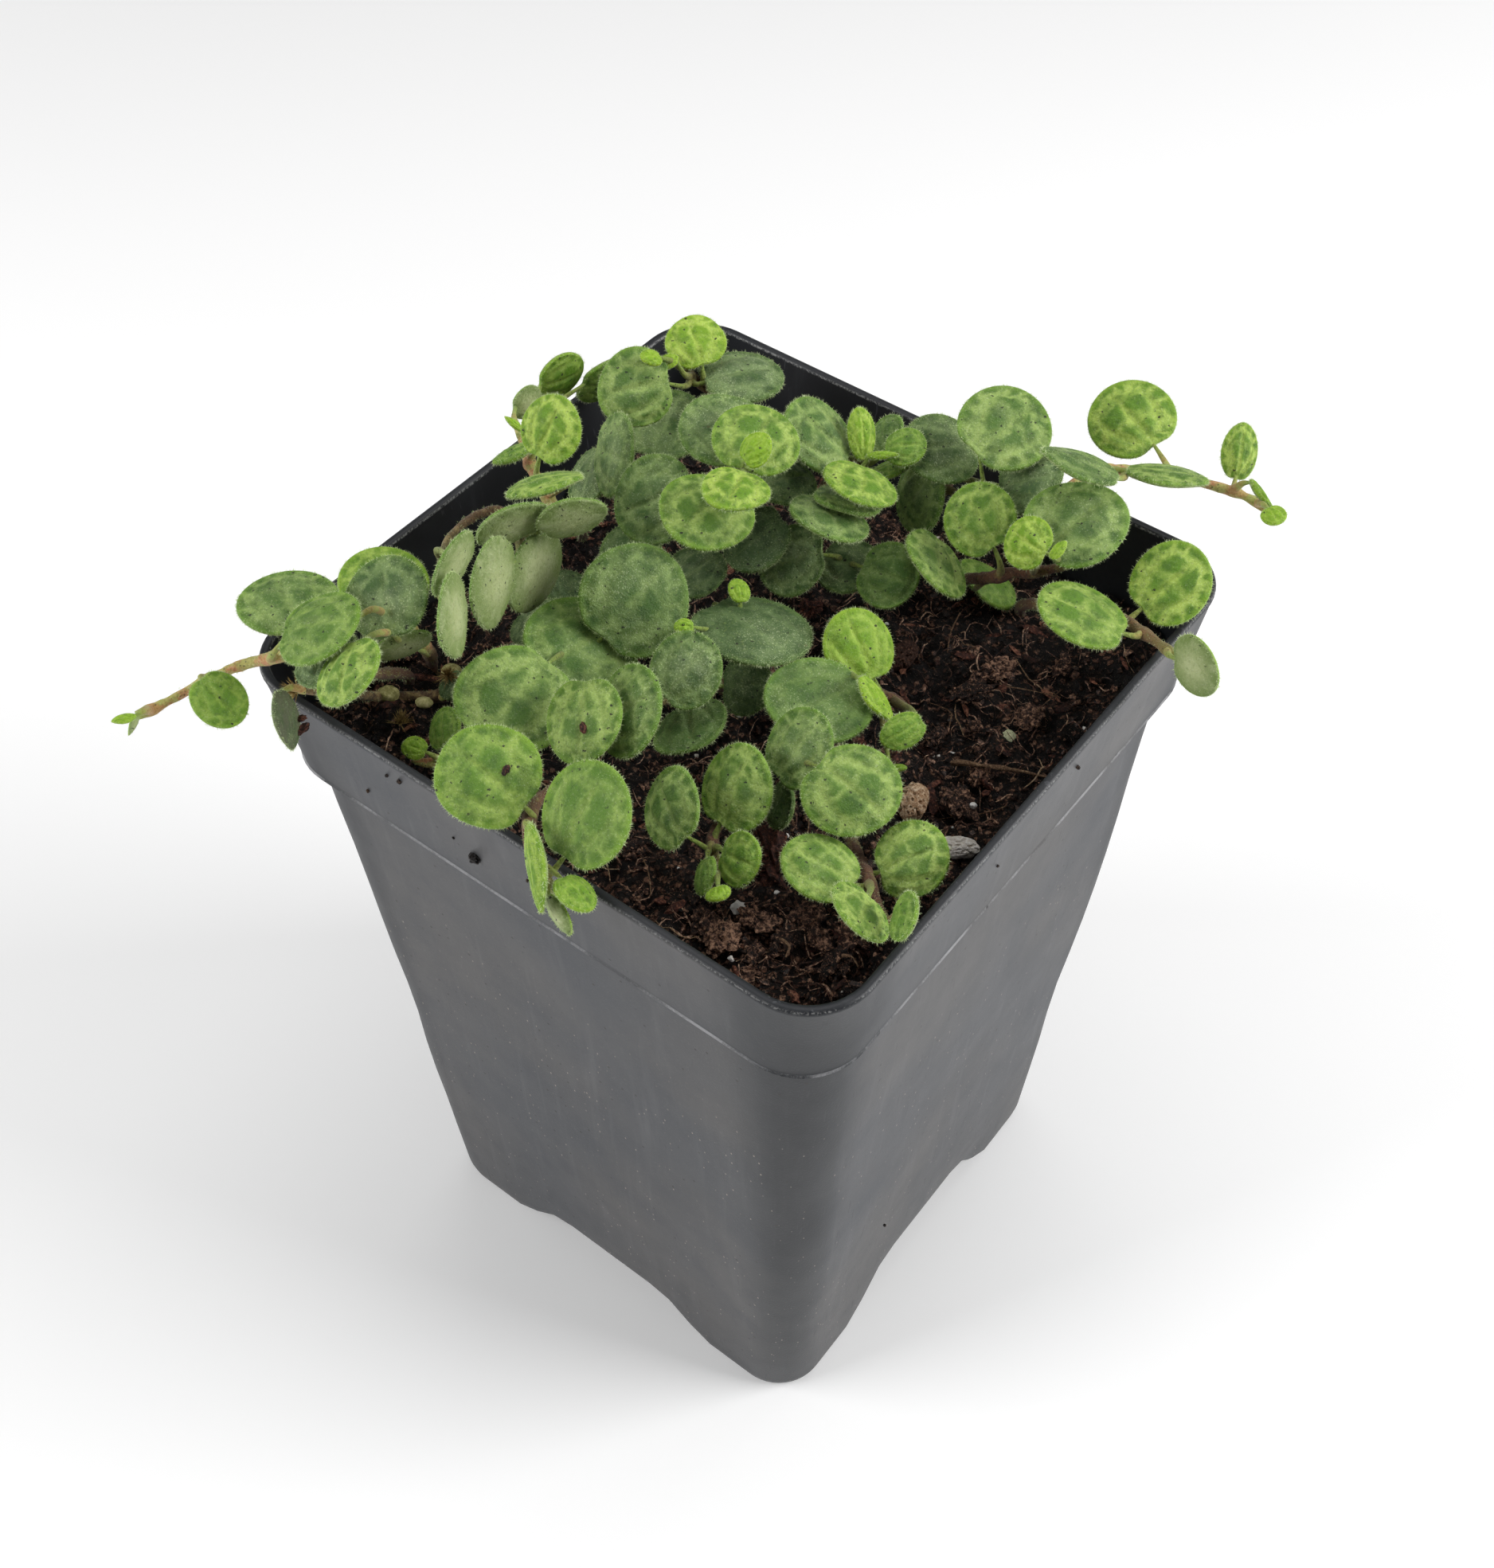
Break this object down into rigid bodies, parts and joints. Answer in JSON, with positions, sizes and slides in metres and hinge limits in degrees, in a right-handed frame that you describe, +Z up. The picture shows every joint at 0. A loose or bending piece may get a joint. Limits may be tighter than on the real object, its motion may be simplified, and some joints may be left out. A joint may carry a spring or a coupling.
{
  "type": "potted string of turtles",
  "caption": "Creeping houseplant with small round patterned leaves on trailing stems, growing from soil in a tall square tapered nursery pot.",
  "frame": {"origin": "centre of the pot's underside, on the flat pad that it stands on", "axes": "+Z up through the pot's open top; X and Y square to the pot's walls, with the pictured corner between +X and -Y"},
  "size_m": [0.0991, 0.1187, 0.1479],
  "materials": {
    "pot": "moulded charcoal plastic, satin, lightly scuffed",
    "soil": "moist peat and coir mix, crumbly, matt",
    "leaf": "succulent leaf, satin, pale veins, fine hairs",
    "stem": "young stem, red brown to green, slightly fuzzy",
    "old_stem": "dry woody runner, matt",
    "stone": "porous tan pumice, matt",
    "perlite": "white expanded perlite, matt"
  },
  "bodies": {
    "root": {"pot": "pot", "soil": "soil", "pumice_stone": "stone", "pitted_chunk": "stone", "perlite_lump": "perlite", "perlite_grain": "perlite", "old_runner": "old_stem", "sprout_left": "leaf", "vine_left_trailer": "leaf", "vine_left_inner": "leaf", "vine_bent_back": "leaf", "vine_back_left": "leaf", "vine_back_mid": "leaf", "vine_back_top": "leaf", "vine_top": "leaf", "vine_back_right_bud": "leaf", "vine_back_right": "leaf", "vine_right_trailer": "leaf", "vine_right": "leaf", "vine_right_corner": "leaf", "vine_centre_right": "leaf", "vine_centre": "leaf", "vine_folded": "leaf", "vine_front_centre": "leaf", "vine_front_left": "leaf", "vine_front_mid": "leaf", "vine_front_right": "leaf", "vine_front_low": "leaf", "vine_front_corner": "leaf"}
  },
  "joints": []
}
